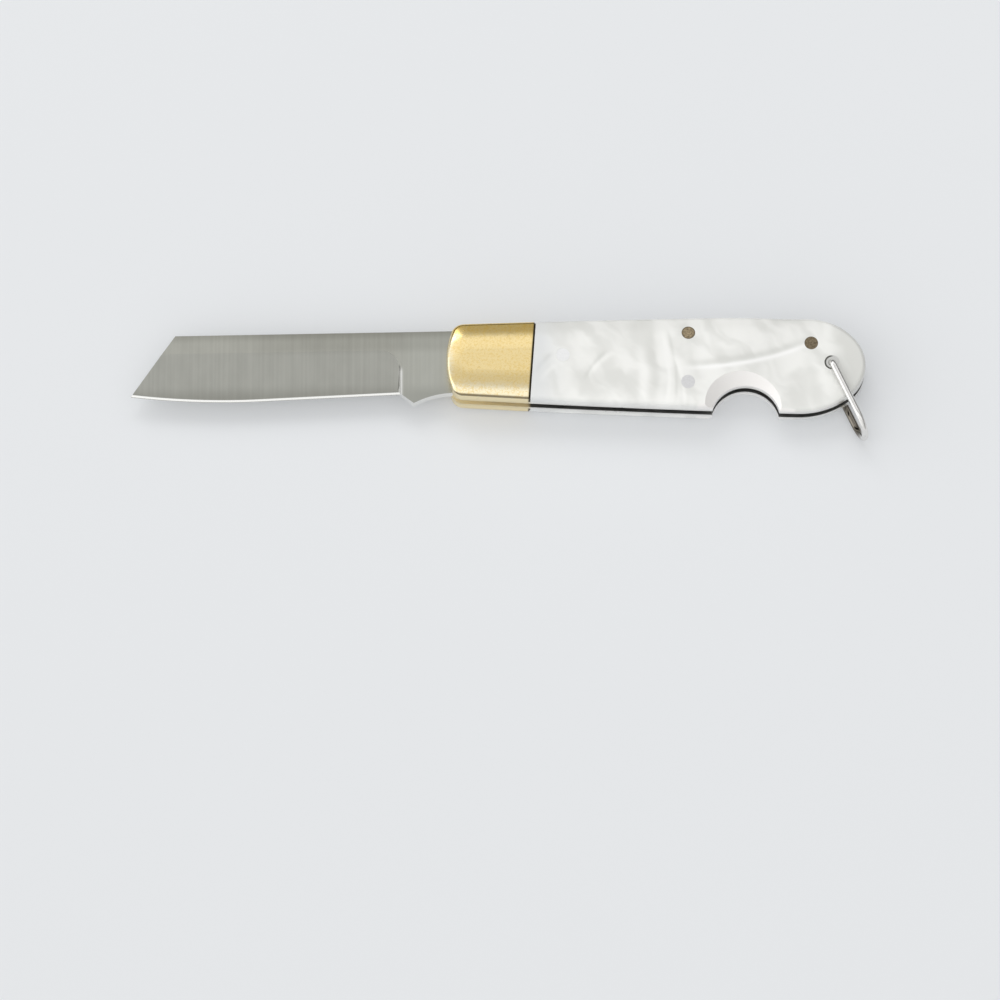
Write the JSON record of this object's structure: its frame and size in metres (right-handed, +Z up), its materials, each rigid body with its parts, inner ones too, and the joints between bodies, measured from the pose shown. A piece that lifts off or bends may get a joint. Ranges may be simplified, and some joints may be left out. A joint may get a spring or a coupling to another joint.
{
  "type": "folding pocket knife",
  "caption": "Slip-joint folding pocket knife with a single blade, brass bolsters, pearly white scales, a pinch notch and a wire bail.",
  "frame": {"origin": "middle of the bottom of the bounding box, on the surface that the knife lies on, with the blade open", "axes": "+X along the knife from the blade's tip to the butt, +Y towards the back of the handle, +Z up through its thickness"},
  "size_m": [0.1743, 0.0292, 0.0122],
  "materials": {
    "blade_steel": "ground satin",
    "spring_steel": "satin",
    "liner_metal": "satin",
    "bolster_brass": "polished",
    "rivet_bronze": "dulled",
    "pin_metal": "satin",
    "scale_pearl": "polished pearl",
    "bail_chrome": "polished"
  },
  "bodies": {
    "handle": {"back_spring": "spring_steel", "pivot_pin": "bolster_brass", "spring_rivet": "rivet_bronze", "butt_rivet": "rivet_bronze", "bail_tube": "bail_chrome", "top_liner": "liner_metal", "bottom_liner": "liner_metal", "top_bolster": "bolster_brass", "bottom_bolster": "bolster_brass", "top_scale": "scale_pearl", "bottom_scale": "scale_pearl", "top_rear_scale_pin": "pin_metal", "bottom_rear_scale_pin": "pin_metal", "top_front_scale_pin": "pin_metal", "bottom_front_scale_pin": "pin_metal", "top_upper_bolster_pin": "bolster_brass", "bottom_upper_bolster_pin": "bolster_brass", "top_lower_bolster_pin": "bolster_brass", "bottom_lower_bolster_pin": "bolster_brass"},
    "blade": {"blade": "blade_steel"},
    "bail": {"bail": "bail_chrome"}
  },
  "joints": [
    {"name": "blade_fold", "type": "hinge", "parent": "handle", "child": "blade", "pos_m": [-0.0061, 0.00228, 0.0061], "axis": [0, 0, 1], "range_deg": [0, 176], "deforming": ["back_spring"]},
    {"name": "bail_swing", "type": "hinge", "parent": "handle", "child": "bail", "pos_m": [0.0786, 0.00323, 0.0061], "axis": [0, 0, 1], "range_deg": [-60, 195]}
  ]
}
